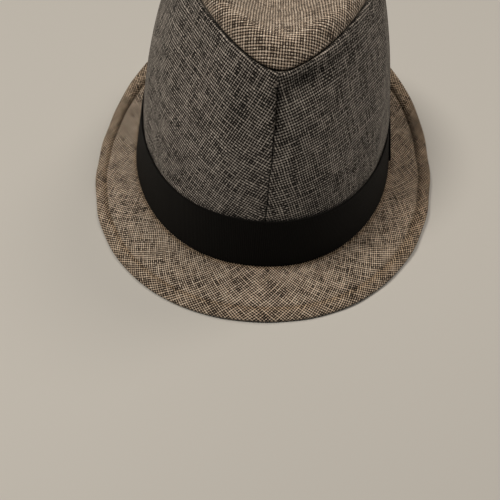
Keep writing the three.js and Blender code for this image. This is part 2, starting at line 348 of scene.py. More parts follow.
def wall_faces(rows, columns, wraps):
    """Faces of a wall, and the place of each face corner in the grid of the cloth."""
    first = np.arange(columns if wraps else columns - 1)
    second = (first + 1) % columns
    both = rows * columns
    faces, corners = [], []

    def add(face, corner):
        faces.append(np.stack(face, 1))
        corners.append(np.stack(corner, 1))

    def strip(low, high, start):
        a, b = low * columns + start, high * columns + start
        c, d = low * (columns + 1) + first, high * (columns + 1) + first
        add([a + first, a + second, b + second, b + first], [c, c + 1, d + 1, d])

    for row in range(rows - 1):
        strip(row, row + 1, 0)
        strip(row + 1, row, both)
    for row in (0, rows - 1):
        a, b = row * columns + first, row * columns + second
        c = row * (columns + 1) + first
        face = [a, b, b + both, a + both]
        add(face[::-1] if row == 0 else face, [c, c + 1, c + 1, c])
    if not wraps:
        step = np.arange(rows - 1)
        for column in (0, columns - 1):
            a, b = step * columns + column, (step + 1) * columns + column
            c, d = step * (columns + 1) + column, (step + 1) * (columns + 1) + column
            face = [a + both, a, b, b + both] if column == 0 else [a, a + both, b + both, b]
            add(face, [c, c, d, d])
    return np.concatenate(faces), np.concatenate(corners)


def volume_sign(points, faces):
    a, b, c, d = (points[faces[:, i]] for i in range(4))
    return np.sign(np.sum(a * np.cross(b, c)) + np.sum(a * np.cross(c, d)))


def wall(name, outer, inner, cloth, shade, wraps, material, node):
    """Closed piece between two faces given as rows of points, with the cloth's thread
    coordinates as UV and one number a point that darkens the colour: painted shade, and on
    the ribbon a darker line by each edge. It replaces the solid of a node."""
    rows, columns = outer.shape[:2]
    faces, corners = wall_faces(rows, columns, wraps)
    points = (np.concatenate([outer.reshape(-1, 3), inner.reshape(-1, 3)]) + SHIFT) * MM
    if volume_sign(points, faces) < 0:
        faces, corners = faces[:, ::-1], corners[:, ::-1]
    mesh = bpy.data.meshes.new(name)
    mesh.from_pydata(points.tolist(), [], faces.tolist())
    layer = mesh.uv_layers.new(name="cloth")
    if cloth.shape[1] == columns:
        cloth = closed(cloth)
    threads = cloth.reshape(-1, 2)[corners.reshape(-1)]
    layer.data.foreach_set("uv", threads.astype(np.float32).reshape(-1))
    tone = mesh.attributes.new("shade", "FLOAT", "POINT")
    tone.data.foreach_set("value", np.tile(shade.reshape(-1), 2).astype(np.float32))
    body = bmesh.new()
    body.from_mesh(mesh)
    bmesh.ops.remove_doubles(body, verts=body.verts, dist=WELD)
    bmesh.ops.dissolve_degenerate(body, edges=body.edges, dist=SHORTEST_EDGE)
    body.to_mesh(mesh)
    body.free()
    mesh.polygons.foreach_set("use_smooth", np.ones(len(mesh.polygons), dtype=bool))
    mesh.materials.append(material)
    piece = bpy.data.objects.new(name, mesh)
    bpy.context.scene.collection.objects.link(piece)
    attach(piece, "root")
    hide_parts(node)


# Materials
class Nodes:
    """Short names for making shader nodes in one material."""

    def __init__(self, name):
        self.material = bpy.data.materials.new(name)
        self.material.use_nodes = True
        self.tree = self.material.node_tree
        self.shader = self.tree.nodes["Principled BSDF"]

    def put(self, value, socket):
        if isinstance(value, bpy.types.NodeSocket):
            self.tree.links.new(value, socket)
        else:
            socket.default_value = value

    def surface(self, name, value):
        self.put(value, self.shader.inputs[name])

    def math(self, operation, *values):
        node = self.tree.nodes.new("ShaderNodeMath")
        node.operation = operation
        for value, socket in zip(values, node.inputs):
            self.put(value, socket)
        return node.outputs[0]

    def add(self, a, b):
        return self.math("ADD", a, b)

    def less(self, a, b):
        return self.math("SUBTRACT", a, b)

    def times(self, a, b):
        return self.math("MULTIPLY", a, b)

    def around(self, value, weight, middle=0.5):
        """How far a value is from its middle, weighted."""
        return self.times(self.less(value, middle), weight)

    def hump(self, part):
        return self.math("SINE", self.times(part, math.pi))

    def fit(self, value, low, high, new_low=0.0, new_high=1.0, kind="SMOOTHSTEP"):
        node = self.tree.nodes.new("ShaderNodeMapRange")
        node.interpolation_type = kind
        for amount, socket in zip((value, low, high, new_low, new_high), node.inputs):
            self.put(amount, socket)
        return node.outputs[0]

    def line(self, value, low, high, new_low, new_high):
        return self.fit(value, low, high, new_low, new_high, "LINEAR")

    def place(self, x, y, z):
        node = self.tree.nodes.new("ShaderNodeCombineXYZ")
        for amount, socket in zip((x, y, z), node.inputs):
            self.put(amount, socket)
        return node.outputs[0]

    def split(self, value):
        node = self.tree.nodes.new("ShaderNodeSeparateXYZ")
        self.put(value, node.inputs[0])
        return node.outputs[0], node.outputs[1]

    def noise(self, where, scale, detail, roughness=0.5):
        node = self.tree.nodes.new("ShaderNodeTexNoise")
        self.put(where, node.inputs["Vector"])
        node.inputs["Scale"].default_value = scale
        node.inputs["Detail"].default_value = detail
        node.inputs["Roughness"].default_value = roughness
        return node.outputs[0]

    def random(self, where):
        node = self.tree.nodes.new("ShaderNodeTexWhiteNoise")
        self.put(where, node.inputs["Vector"])
        return node.outputs["Value"]

    def colours(self, value, stops):
        node = self.tree.nodes.new("ShaderNodeValToRGB")
        self.put(value, node.inputs[0])
        bar = node.color_ramp
        while len(bar.elements) < len(stops):
            bar.elements.new(0.5)
        for element, (at, colour) in zip(bar.elements, stops):
            element.position = at
            element.color = (*colour, 1)
        return node.outputs[0]

    def tinted(self, colour, tint):
        node = self.tree.nodes.new("ShaderNodeMix")
        node.data_type = "RGBA"
        node.blend_type = "MULTIPLY"
        factor, first, second = (node.inputs[i] for i in (0, 6, 7))
        factor.default_value = 1.0
        self.put(colour, first)
        self.put(tint, second)
        return node.outputs[2]

    def cloth_place(self):
        node = self.tree.nodes.new("ShaderNodeUVMap")
        node.uv_map = "cloth"
        return node.outputs[0]

    def shade(self):
        node = self.tree.nodes.new("ShaderNodeAttribute")
        node.attribute_name = "shade"
        return node.outputs["Fac"]

    def bump(self, height, distance, strength):
        node = self.tree.nodes.new("ShaderNodeBump")
        node.inputs["Strength"].default_value = strength
        node.inputs["Distance"].default_value = distance
        self.put(height, node.inputs["Height"])
        self.surface("Normal", node.outputs[0])


def linear(*colour):
    """Linear numbers of a colour given as 0 to 255 on screen."""
    scaled = [c / 255 for c in colour]
    return tuple(c / 12.92 if c <= 0.04045 else ((c + 0.055) / 1.055) ** 2.4 for c in scaled)


# The weave. Sizes are counted in threads, weights in shares of the full tone.
DRIFT = 0.7  # how far threads wander out of line
DRIFT_SCALE = 0.11
THREAD_APART = 5.31  # keeps the tones of neighbouring threads unlike each other
SIZE_APART = 3.17
TONE_ALONG = 0.13  # how fast tone and thickness change along a thread
SIZE_ALONG = 0.12
THREAD_HEIGHT = 0.66
THREAD_RISE = 0.14  # how much higher a thread goes over another than under it
THREAD_WIDTHS = (0.78, 1.22)
TONES = (0.44, 0.86)
FIBRE_SCALE = 2.2
FIBRE_WEIGHT = 0.1
MOTTLE_SCALE = 0.75
HOLE_EDGE = 0.12
THREAD_SHADE_LOW = 0.5
THREAD_SHADE_RISE = 0.7
PATCH_SCALE = 0.045
PATCH_TONES = (0.94, 1.06)
MIDDLE_STOP = 0.45
DEEP_SHADE = (0.12, 0.10, 0.08)
HALF_SHADE_STOP = 0.75
WHITE = (1, 1, 1)
WEAVE_DEPTH = 0.00045  # metres


def woven(name, dark, middle, light, heather, mottle, shadow, openness, row_gain=1.0):
    """Coarse plain weave of slubby two-tone thread, with painted shade in the holes between the threads and
    on the threads' sides.
    """
    make = Nodes(name)
    place = make.cloth_place()
    straight_u, straight_v = make.split(place)
    drift_u = make.noise(place, DRIFT_SCALE, 1.0)
    drift_v = make.noise(make.place(straight_v, straight_u, 5.0), DRIFT_SCALE, 1.0)
    u = make.math("MULTIPLY_ADD", make.less(drift_u, 0.5), DRIFT, straight_u)
    v = make.math("MULTIPLY_ADD", make.less(drift_v, 0.5), DRIFT, straight_v)
    column, row = make.math("FLOOR", u), make.math("FLOOR", v)
    column_hump = make.hump(make.math("FRACT", u))
    row_hump = make.hump(make.math("FRACT", v))
    over = make.math("MULTIPLY_ADD", make.math("PINGPONG", make.add(column, row), 1.0), 2.0, -1.0)

    # tone and thickness wander along each thread
    def thread_noise(x, y, layer, *detail):
        return make.noise(make.place(make.times(*x), make.times(*y), layer), 1.0, *detail)

    column_tone = thread_noise((column, THREAD_APART), (v, TONE_ALONG), 0.0, 2.0, 0.6)
    row_tone = thread_noise((u, TONE_ALONG), (row, THREAD_APART), 9.0, 2.0, 0.6)
    column_size = thread_noise((column, SIZE_APART), (v, SIZE_ALONG), 21.0, 1.0)
    row_size = thread_noise((u, SIZE_ALONG), (row, SIZE_APART), 33.0, 1.0)
    column_rise = make.math("MULTIPLY_ADD", make.times(over, row_hump), THREAD_RISE, THREAD_HEIGHT)
    row_rise = make.math("MULTIPLY_ADD", make.times(over, column_hump), -THREAD_RISE, THREAD_HEIGHT)
    thin, thick = THREAD_WIDTHS
    column_width = make.line(column_size, 0.3, 0.7, thin, thick)
    row_width = make.line(row_size, 0.3, 0.7, thin * row_gain, thick * row_gain)
    column_height = make.times(make.times(column_hump, column_rise), column_width)
    row_height = make.times(make.times(row_hump, row_rise), row_width)
    top = make.math("SMOOTH_MAX", column_height, row_height, 0.1)
    which = make.fit(make.less(column_height, row_height), -0.06, 0.06)
    tone = make.math("MULTIPLY_ADD", make.less(column_tone, row_tone), which, row_tone)
    tone = make.line(tone, 0.28, 0.72, *TONES)
    # unevenness in the fibres, at the crossings and in patches
    fibre = make.noise(place, FIBRE_SCALE, 2.0, 0.7)
    crossing = make.random(make.place(column, row, 0.0))
    tone = make.add(tone, make.around(fibre, FIBRE_WEIGHT))
    tone = make.add(tone, make.around(crossing, heather))
    tone = make.add(tone, make.around(make.noise(place, MOTTLE_SCALE, 1.0), mottle))
    # painted shade: the holes between the threads go dark, and each thread is darker towards its sides than
    # on its crown
    cover = make.fit(top, openness - HOLE_EDGE, openness + HOLE_EDGE)
    painted_thread_shade = make.math("MULTIPLY_ADD", make.times(column_hump, row_hump), THREAD_SHADE_RISE, THREAD_SHADE_LOW)
    lit = make.times(make.times(tone, cover), painted_thread_shade)
    patch = make.noise(place, PATCH_SCALE, 2.0)
    lit = make.times(lit, make.line(patch, 0.25, 0.75, *PATCH_TONES))
    colour = make.colours(lit, ((0.0, dark), (MIDDLE_STOP, middle), (1.0, light)))
    # painted shade: the shade number darkens the colour down to DEEP_SHADE, through the shadow tint on the
    # way
    shades = ((0.0, DEEP_SHADE), (HALF_SHADE_STOP, shadow), (1.0, WHITE))
    make.surface("Base Color", make.tinted(colour, make.colours(make.shade(), shades)))
    make.surface("Roughness", make.line(cover, 0.0, 1.0, 1.0, 0.82))
    make.surface("Specular IOR Level", 0.25)
    make.surface("Sheen Weight", 0.12)
    make.surface("Sheen Roughness", 0.6)
    make.surface("Sheen Tint", (0.9, 0.86, 0.8, 1))
    make.bump(make.add(top, make.times(fibre, FIBRE_WEIGHT)), WEAVE_DEPTH, 0.25)
    return make.material


RIB_DEPTH = 0.00018  # metres


def grosgrain(name):
    """Black ribbon with fine ribs across its length."""
    make = Nodes(name)
    place = make.cloth_place()
    u, v = make.split(place)
    rib = make.hump(make.math("FRACT", u))
    fibre = make.noise(make.place(make.times(u, 0.4), make.times(v, 3.0), 0.0), 1.0, 3.0, 0.6)
    patch = make.noise(place, 0.03, 2.0)
    # painted shade: the ribs' crowns are lighter than the hollows between them, with fibre and patch tone
    # on top
    tone = make.add(make.times(rib, 0.4), make.add(make.times(fibre, 0.35), make.times(patch, 0.5)))
    colour = make.colours(tone, (
        (0.2, linear(5, 5, 5)), (0.7, linear(12, 11, 10)), (1.0, linear(22, 20, 18))))
    shades = ((0.0, (0.4, 0.4, 0.4)), (1.0, WHITE))
    make.surface("Base Color", make.tinted(colour, make.colours(make.shade(), shades)))
    make.surface("Roughness", make.line(rib, 0.0, 1.0, 0.9, 0.75))
    make.surface("Specular IOR Level", 0.12)
    make.surface("Sheen Weight", 0.02)
    make.bump(make.add(rib, make.times(fibre, 0.4)), RIB_DEPTH, 0.7)
    return make.material


# One cloth in three copies, each toned for how light falls on its part: painted light and shade. The brim's
# copy is the lit one, lightest and warmest; the side panels' is a darker, cooler copy of painted shade; the
# tip's has a darker middle and lower contrast.
LIT_CLOTH = woven(
    "cloth_lit", dark=linear(12, 8, 6), middle=linear(209, 189, 169), light=linear(250, 240, 226),
    heather=0.28, mottle=0.32, shadow=(0.78, 0.715, 0.63), openness=0.625)
SHADED_CLOTH = woven(
    "cloth_shaded", dark=linear(4, 3, 3), middle=linear(158, 150, 144), light=linear(236, 228, 219),
    heather=0.27, mottle=0.3, shadow=(0.74, 0.75, 0.75), openness=0.655, row_gain=1.05)
TIP_CLOTH = woven(
    "cloth_tip", dark=linear(44, 36, 30), middle=linear(194, 175, 157), light=linear(255, 246, 233),
    heather=0.34, mottle=0.2, shadow=(0.76, 0.72, 0.66), openness=0.61)
BLACK = grosgrain("ribbon_black")

# Side panels of the crown. Ridges and lines of painted shade are given as rise or depth,
# distance from the seam and spread, rolls as depth and reach.
SIDE_LINES = np.concatenate([
    [0, 0.0017, 0.0035, 0.006, 0.009, 0.013],
    np.linspace(0.018, 0.982, 176),
    [0.987, 0.991, 0.994, 0.9965, 0.9983, 1.0],
])
LINE_EASING = 0.4
FOOT_SHARES = (0.0, 0.3, 0.6, 0.85)
LOWER_ROWS = 26
ROWS_BELOW_TIP = np.array([
    24, 22, 20, 18, 16.5, 15, 13.5, 12, 10.6, 9.4, 8.2, 7.2, 6.4, 5.7, 5.2, 4.8, 4.5, 4.25,
    4.0, 3.7, 3.3, 2.8, 2.2, 1.7, 1.3, 1.0, 0.75, 0.5, 0.3, 0.15, 0.0])
FRONT_SEAM_HEIGHT = 76.0
LOWER_PART = 0.68
SEAM_BOW = (0.85, 8.4, 2.6)  # degrees, then rows of the solid
SEAM_WANDER = 0.12
STRIP_RISE = 0.5
STRIP_EDGE = (5.4, 3.4)
STRIP_CROWN = (0.12, 2.2, 1.4)
STITCH_LINE = (-0.22, 4.3, 0.5)
TIP_PUCKER = (0.28, 5.5, 3.2)
SEAM_PUCKER = (0.22, 2.5, 2.4)
SEAM_SWELL = (0.2, 2.2, 1.5)
SIDE_FOLD = 0.28
BAG = (0.9, 90, 24)  # over the ribbon's fold, round the crown
BAG_HEIGHT = (1, 5, 9)  # above the ribbon
TIP_ROLL = 0.75
TIP_ROLL_SIDE = 1.0
TIP_ROLL_TOP = 1.6
SEAM_ROLL = (0.3, 0.7)
MITRE_REACH = 5.0  # where the wall's thickness turns to meet the other panel's
CLOSER_THREADS = 1.11
# painted shade in the grooves of the front and back seams, under the tip seam and along the stitched line
SEAM_PAINTED_SHADE = (0.45, 0, 0.35)
TIP_SEAM_PAINTED_SHADE = (0.8, 0, 0.45)
STITCH_PAINTED_SHADE = (0.16, 4.35, 0.5)
# painted shade over the panel below the stitched strip, which leaves the strip lighter, as if lit
BELOW_STRIP_PAINTED_SHADE = 0.08
DENTS_PAINTED_SHADE = {  # painted shade in the dents: depth, distance and spread from the front seam, and from the tip seam
    1: ((0.28, 9, 9, 7, 6), (0.17, 7, 12, 21, 17)),
    -1: ((0.2, 15, 17, 20, 18),),
}


def side_grid(sign):
    """Angles and points of a side panel, how far each is below the tip seam, and the full height."""
    upper_rows = SOLID_ROWS - SOLID_FOOT_ROWS
    solid_row = np.concatenate([
        np.array(FOOT_SHARES) * SOLID_FOOT_ROWS,
        SOLID_FOOT_ROWS + upper_rows * np.linspace(0, LOWER_PART, LOWER_ROWS, endpoint=False),
        SOLID_FOOT_ROWS + upper_rows * (1 - ROWS_BELOW_TIP / FRONT_SEAM_HEIGHT),
    ])
    seam = SEAM_FOOT_ANGLE + (SEAM_TOP_ANGLE - SEAM_FOOT_ANGLE) * solid_row / SOLID_ROWS
    seam = seam + ridge(solid_row, *SEAM_BOW) + SEAM_WANDER * waves(solid_row, 51, SEAM_LENGTHS)
    eased = (1 - LINE_EASING) * SIDE_LINES + LINE_EASING * smooth(SIDE_LINES)
    start = sign * seam[:, None]
    angle = sign * (start + (180 - start) * eased)
    full = np.linalg.norm(tip_seam(angle[-1]) - panel_foot(angle[-1], 1.0), axis=-1)
    lower = 1 - ROWS_BELOW_TIP[0] / full
    shares = [lower * row / LOWER_ROWS for row in range(LOWER_ROWS)]
    shares += [1 - distance / full for distance in ROWS_BELOW_TIP]
    feet = len(FOOT_SHARES)
    base = [panel_foot(at, share) for at, share in zip(angle, FOOT_SHARES)]
    base += [panel_point(at, share) for at, share in zip(angle[feet:], shares)]
    below = [full + RIBBON_HEIGHT * (1 - share) for share in FOOT_SHARES]
    below += [(1 - share) * full for share in shares]
    base = np.array(base)
    base[:, [0, -1], 0] += sign * GAP / 2
    return angle, base, np.array(below), full


def side_relief(sign, angle, below, full, from_seam, along_tip):
    """Height over the plain panel: stitched strip, puckers beside the seams, soft folds."""
    relief = STRIP_RISE * ramp(below, *STRIP_EDGE)
    relief = relief + ridge(below, *STRIP_CROWN) + ridge(below, *STITCH_LINE)
    relief = relief + ridge(below, *TIP_PUCKER) * waves(along_tip, 11 + sign)
    relief = relief + ridge(from_seam, *SEAM_PUCKER) * waves(below, 21 + sign)
    relief = relief + ridge(from_seam, *SEAM_SWELL) * ramp(below, 2, 8)
    slanting = waves(along_tip * 0.9 + below * 0.45, 31 + sign, SIDE_FOLD_LENGTHS)
    relief = relief + SIDE_FOLD * slanting * ramp(below, 2, 12)
    relief = relief + ridge(angle, *BAG) * ridge(full - below, *BAG_HEIGHT)
    relief[:len(FOOT_SHARES)] = 0
    return relief


def flat_corner(a, b, from_a, from_b):
    """Flat point at two distances from a and b, on the right of the way from a to b."""
    way = b - a
    span = np.linalg.norm(way)
    along = (from_a ** 2 - from_b ** 2 + span ** 2) / (2 * span)
    aside = math.sqrt(max(from_a ** 2 - along ** 2, 0))
    return a + (way * along + np.array([way[1], -way[0]]) * aside) / span


def laid_flat(foot, top):
    """Lower and upper edge of a bent panel rolled out flat from its first corners on."""
    def apart(a, b):
        return np.linalg.norm(a - b)

    low = [np.zeros(2)]
    high = [np.array([0, apart(top[0], foot[0])])]
    for i in range(1, len(foot)):
        low.append(flat_corner(low[-1], high[-1], apart(foot[i], foot[i - 1]), apart(foot[i], top[i - 1])))
        high.append(flat_corner(low[-1], high[-1], apart(top[i], foot[i]), apart(top[i], top[i - 1])))
    return np.array(low), np.array(high)


def side_cloth(sign, base, grain_angle):
    """Threads run straight over the panel laid flat, askew to the front seam."""
    low, high = laid_flat(base[0], base[-1])
    climbed = lengths_along(base, 0)
    climbed = (climbed / climbed[-1:])[..., None]
    level, upright = np.moveaxis(low + (high - low) * climbed, -1, 0)
    askew = math.radians(grain_angle)
    across = sign * (level * math.cos(askew) + upright * math.sin(askew)) * CLOSER_THREADS
    along = upright * math.cos(askew) - level * math.sin(askew)
    return np.stack([across, along], -1) / THREAD


# Painted shade on a side panel: darker in the seams' grooves, along the stitched line, below the strip and
# in the dents.
def side_painted_shade(sign, below, from_front, from_seam):
    shade = 1 - ridge(from_seam, *SEAM_PAINTED_SHADE) * ramp(below, 0, 3)
    shade = shade * (1 - ridge(below, *TIP_SEAM_PAINTED_SHADE))
    shade = shade * (1 - ridge(below, *STITCH_PAINTED_SHADE)) * (1 - BELOW_STRIP_PAINTED_SHADE * ramp(below, 4.5, 8))
    for depth, at, spread, at_below, spread_below in DENTS_PAINTED_SHADE[sign]:
        dent = ridge(from_front, depth, at, spread) * ridge(below, 1, at_below, spread_below)
        shade = shade * (1 - dent)
    return shade


def side_panel(sign, name, node, grain_angle):
    angle, base, below, full = side_grid(sign)
    normal = grid_normals(base, False)
    if np.sum(normal[..., :2] * base[..., :2]) < 0:
        normal = -normal
    from_front = lengths_along(base, 1)
    from_seam = np.minimum(from_front, from_front[:, -1:] - from_front)
    along_tip = np.broadcast_to(lengths_along(base[-1:], 1), below.shape)
    relief = side_relief(sign, angle, below, full, from_seam, along_tip) * rising(below, 0.9)
    # both edges roll into their seams, and the wall is mitred under the tip seam
    mitre = -unit(outward(tip_seam, angle) + UP)
    seam_depth, seam_reach = SEAM_ROLL
    seam_roll = seam_depth * fading(from_seam, seam_reach) ** 2 * rising(below, 1.1)
    tip_roll = TIP_ROLL * fading(below, TIP_ROLL_SIDE) ** 2
    outer = base + normal * (relief - seam_roll)[..., None] + mitre * tip_roll[..., None]
    towards = fading(below, MITRE_REACH)[..., None]
    inward = -normal
    inward[0, :, 2] = 0
    inner = base + unit(inward) * CLOTH * (1 - towards) + mitre * CLOTH * math.sqrt(2) * towards
    inner[:, [0, -1], 0] = base[:, [0, -1], 0]
    cloth = side_cloth(sign, base, grain_angle)
    shade = side_painted_shade(sign, below, from_front, from_seam)
    wall(name, outer, inner, cloth, shade, False, SHADED_CLOTH, node)


side_panel(1, "side_left", "crown_side_left", 21)
side_panel(-1, "side_right", "crown_side_right", 26)

# Tip of the crown
TIP_COLUMNS = 264
TIP_SHARES = np.concatenate([
    [0, 0.003, 0.0065, 0.011, 0.017, 0.025, 0.035, 0.047],
    np.linspace(0.06, 1, 62),
])
INSIDE_PUCKER = (0.2, 3, 2.6)
TIP_FOLD = 0.35
TIP_EDGE_PAINTED_SHADE = (0.8, 0, 0.6)


def tip_cloth(base, inward):
    """Threads follow the hat's axes, measured over the surface from the middle."""
    reach = (inward[-1:] - inward)[..., None]
    way = unit((base[0] - base[-1].mean(0))[:, :2])
    flat = base[..., :2] - base[-1, 0, :2]
    level = np.maximum(np.linalg.norm(flat, axis=-1, keepdims=True), 1e-6)
    longer = np.where(level > 1, reach / level, 1.0)
    return flat * (1 + (longer - 1) * way ** 2) / THREAD


def tip_panel():
    angle, share = np.meshgrid(np.arange(TIP_COLUMNS) * 360 / TIP_COLUMNS, TIP_SHARES)
    base = tip_point(angle, share)
    normal = grid_normals(base, True)
    normal[-1] = UP
    normal = facing_up(normal)
    inward = lengths_along(base, 0)
    along = np.broadcast_to(lengths_along(base[:1], 1), share.shape)
    seam_out = outward(tip_seam, angle)
    mitre = -unit(seam_out + UP)
    shift = (UP - seam_out) * (GAP / math.sqrt(2))  # keeps the gap to the side panels
    edge = fading(inward, TIP_ROLL_TOP)[..., None]
    from_point = np.minimum(angle, 360 - angle)
    pucker = ridge(inward, *INSIDE_PUCKER) * waves(along, 41) * ramp(from_point, 0, 6)
    folds = waves(base[..., 0] + 0.6 * base[..., 1], 43, TIP_FOLD_LENGTHS) * ramp(inward, 3, 14)
    relief = (pucker + TIP_FOLD * folds)[..., None]
    outer = base + shift * edge + mitre * TIP_ROLL * edge ** 2 + normal * relief
    towards = fading(inward, MITRE_REACH)[..., None]
    inner = base - normal * CLOTH * (1 - towards) + (mitre * CLOTH * math.sqrt(2) + shift) * towards
    outer[-1] = outer[-1].mean(0)
    inner[-1] = inner[-1].mean(0)
    # painted shade along the tip's edge where it rolls into its seam
    shade = 1 - ridge(inward, *TIP_EDGE_PAINTED_SHADE)
    cloth = tip_cloth(base, inward)
    wall("tip_panel", outer, inner, cloth, shade, True, TIP_CLOTH, "crown_tip")


tip_panel()

# Brim. The stitch line is where the hem strip begins.
BRIM_COLUMNS = 420
FLAT_ROWS = 26
FLAT_EASING = 0.93
HEM_ROWS = np.concatenate([
    np.linspace(0, 0.85, 18, endpoint=False),
    1 - 0.15 * (1 - np.linspace(0, 1, 9)) ** 1.6,
])
THREADS_ROUND = 360
THREADS_OUT = 0.613  # a millimetre
HEM_FLAT = (0.9, 0.2)  # thickness at the strip's sides, and what its middle adds
HEM_PADDED = (0.75, 0.85)
EDGE_ROUND = 1.1
EDGE_LEFT = 0.02
GROOVE = (0.2, 0.75)  # flat, and what padding adds
GROOVE_REACH = (0.8, 1.5)  # inside and outside the stitch line
# painted shade in the stitch line's groove: flat, and what padding adds; then its reach inside and outside
GROOVE_PAINTED_SHADE = (0.04, 0.6)
GROOVE_PAINTED_SHADE_REACH = (0.6, 1.3)
HEM_RIBS = 0.3
# painted shade over the padded hem strip
HEM_PAINTED_SHADE = 0.16
LINE_PUCKER = 0.14
BRIM_FOLD = 0.35
WRINKLES = ((0.0, 0.4), (-5.5, 0.3), (4.5, 0.2))  # degrees from their middle, depth
WRINKLE_ANGLE = -47
WRINKLE_SCALE = 1.7  # a degree
WRINKLE_SLANT = 62  # sideways over the brim's width
WRINKLE_REACH = (1, 0.5, 0.25)
RIBBON_SHADOW = (0.55, -1, 2.2)
LEFT_PAINTED_SHADOW = (0.14, 88, 42)  # painted shadow of the crown on the brim's wearer's left: depth, then degrees
# painted shade on the crease's flank, on the same side: depth, distance from the stitch line, spread
CREASE_PAINTED_SHADE = (0.3, 1.5, 2.2)


def hem_thickness(across, pad, hem):
    """Thickness over the hem strip as a share of the cloth: flat or padded like a tube."""
    crown = np.sqrt(np.clip(1 - (2 * across - 1) ** 2, 0, 1))
    flat, padded = (side + middle * crown for side, middle in (HEM_FLAT, HEM_PADDED))
    end = rising(across - (1 - EDGE_ROUND / hem), EDGE_ROUND / hem)
    return (flat + (padded - flat) * pad) * np.sqrt(np.clip(1 + EDGE_LEFT - end ** 2, 0, 1))


def groove(from_line, reaches):
    inside, outside = reaches
    return bell(from_line / np.where(from_line > 0, outside, inside))


def brim_wrinkles(turned, reach):
    """Short slanting wrinkles on the wearer's right of the front."""
    total = 0
    for shift, depth in WRINKLES:
        line = (turned - WRINKLE_ANGLE - shift) * WRINKLE_SCALE + (reach - 0.3) * WRINKLE_SLANT
        total = total - depth * (bell(line / 1.5) - 0.5 * bell((line - 2.6) / 2.0))
    return total * ridge(reach, *WRINKLE_REACH)


# Painted shade on the brim: in the stitch line's groove, over the padded hem, a painted shadow at the foot
# of the crown, and a painted shadow of the crown on the wearer's left with its crease darker still.
def brim_painted_shade(turned, pad, from_line, from_crown):
    flat, padded = GROOVE_PAINTED_SHADE
    shade = 1 - (flat + padded * pad ** 2) * groove(from_line, GROOVE_PAINTED_SHADE_REACH)
    shade = shade * (1 - HEM_PAINTED_SHADE * pad * ramp(from_line, -0.5, 0.5))
    shade = shade * (1 - ridge(from_crown, *RIBBON_SHADOW))
    depth, middle, spread = LEFT_PAINTED_SHADOW
    shadowed_left = ridge(turned, 1, middle, spread)
    return shade * (1 - depth * shadowed_left) * (1 - shadowed_left * ridge(from_line, *CREASE_PAINTED_SHADE))


def brim():
    angle = np.arange(BRIM_COLUMNS) * 360 / BRIM_COLUMNS
    width = round_table("width", angle) * BRIM_WIDTH
    hem = round_table("hem", angle) * HEM_WIDTH
    pad = round_table("pad", angle)
    # the rows begin under the crown's wall and stand closest at the edge
    inner_reach = -(RIBBON_THICK + GAP + CLOTH) / width
    start = 1 - hem / width
    flat_part = np.linspace(0, 1, FLAT_ROWS, endpoint=False)[:, None] ** FLAT_EASING
    across = HEM_ROWS[:, None]
    reach = np.concatenate([inner_reach + (start - inner_reach) * flat_part, start + (1 - start) * across])
    over = np.concatenate([np.zeros((FLAT_ROWS, 1)), across]) + np.zeros_like(reach)
    angle = np.broadcast_to(angle, reach.shape)
    base = brim_point(angle, reach)
    normal = facing_up(grid_normals(base, True))
    normal[reach <= 0] = UP
    thickness = hem_thickness(over, pad, hem)
    thickness[:FLAT_ROWS] = 1.0
    from_line = (reach - start) * width
    turned = signed(angle)
    flat, padded = GROOVE
    sunk = (flat + padded * pad) * groove(from_line, GROOVE_REACH)
    along = np.cumsum(np.linalg.norm(base[-1] - np.roll(base[-1], 1, 0), axis=-1))
    turns = 2 * np.pi * along / along[-1]
    ribs = HEM_RIBS * ripples(turns, 5, 70, 130, 9) * pad * np.sin(np.pi * np.clip(over, 0, 1)) ** 0.6
    puckers = LINE_PUCKER * ripples(turns, 6, 80, 160, 9) * bell(from_line / 3.5)
    folds = BRIM_FOLD * ripples(turns, 7, 9, 30, 9) * ramp(reach, 0.15, 0.8)
    top = CLOTH * thickness / 2 - sunk + ribs + puckers + brim_wrinkles(turned, reach)
    bottom = CLOTH * thickness / 2 - 0.5 * sunk - ribs * 0.5
    outer = base + normal * (top + folds)[..., None]
    inner = base + normal * (folds - np.maximum(bottom, 0.1))[..., None]
    # threads cross the brim at a slant, a whole number of them round it
    round_brim = np.arange(BRIM_COLUMNS + 1) / BRIM_COLUMNS * THREADS_ROUND
    out = closed(reach * width) * THREADS_OUT
    cloth = np.stack([out + round_brim, out - round_brim + 2 * THREADS_ROUND], -1)
    shade = brim_painted_shade(turned, pad, from_line, reach * width)
    wall("brim_cloth", outer, inner, cloth, shade, True, LIT_CLOTH, "brim")


brim()

# Ribbon and its flat fold
RIBBON_ROWS = np.concatenate([[0, 0.012, 0.03], np.linspace(0.06, 0.94, 15), [0.97, 0.988, 1.0]])
RIBBON_COLUMNS = 360
RIBBON_ROUND = 595.0
RIBBON_BACK = 0.8  # from the ribbon's middle face to its back
RIBBON_BELLY = 0.1225
RIBBON_BEAD = (0.16, 0.965, 0.02)  # shares of half the height, from the middle to an edge
RIBBON_LINE_DARK = (0.5, 0.93, 0.012)
EDGE_WAVE = 0.2552
FOLD_LINES = np.concatenate([[0, 0.006, 0.016, 0.03], np.linspace(0.05, 0.95, 60), [0.97, 0.984, 0.994, 1]])
FOLD_BEAD = (0.12, 0.965, 0.02)
FOLD_BELLY = 0.35
FOLD_SETTLE = 0.9  # how far its upper edge leans onto the ribbon
FOLD_BACK = 0.05


def from_middle(share):
    return np.abs(2 * share - 1)


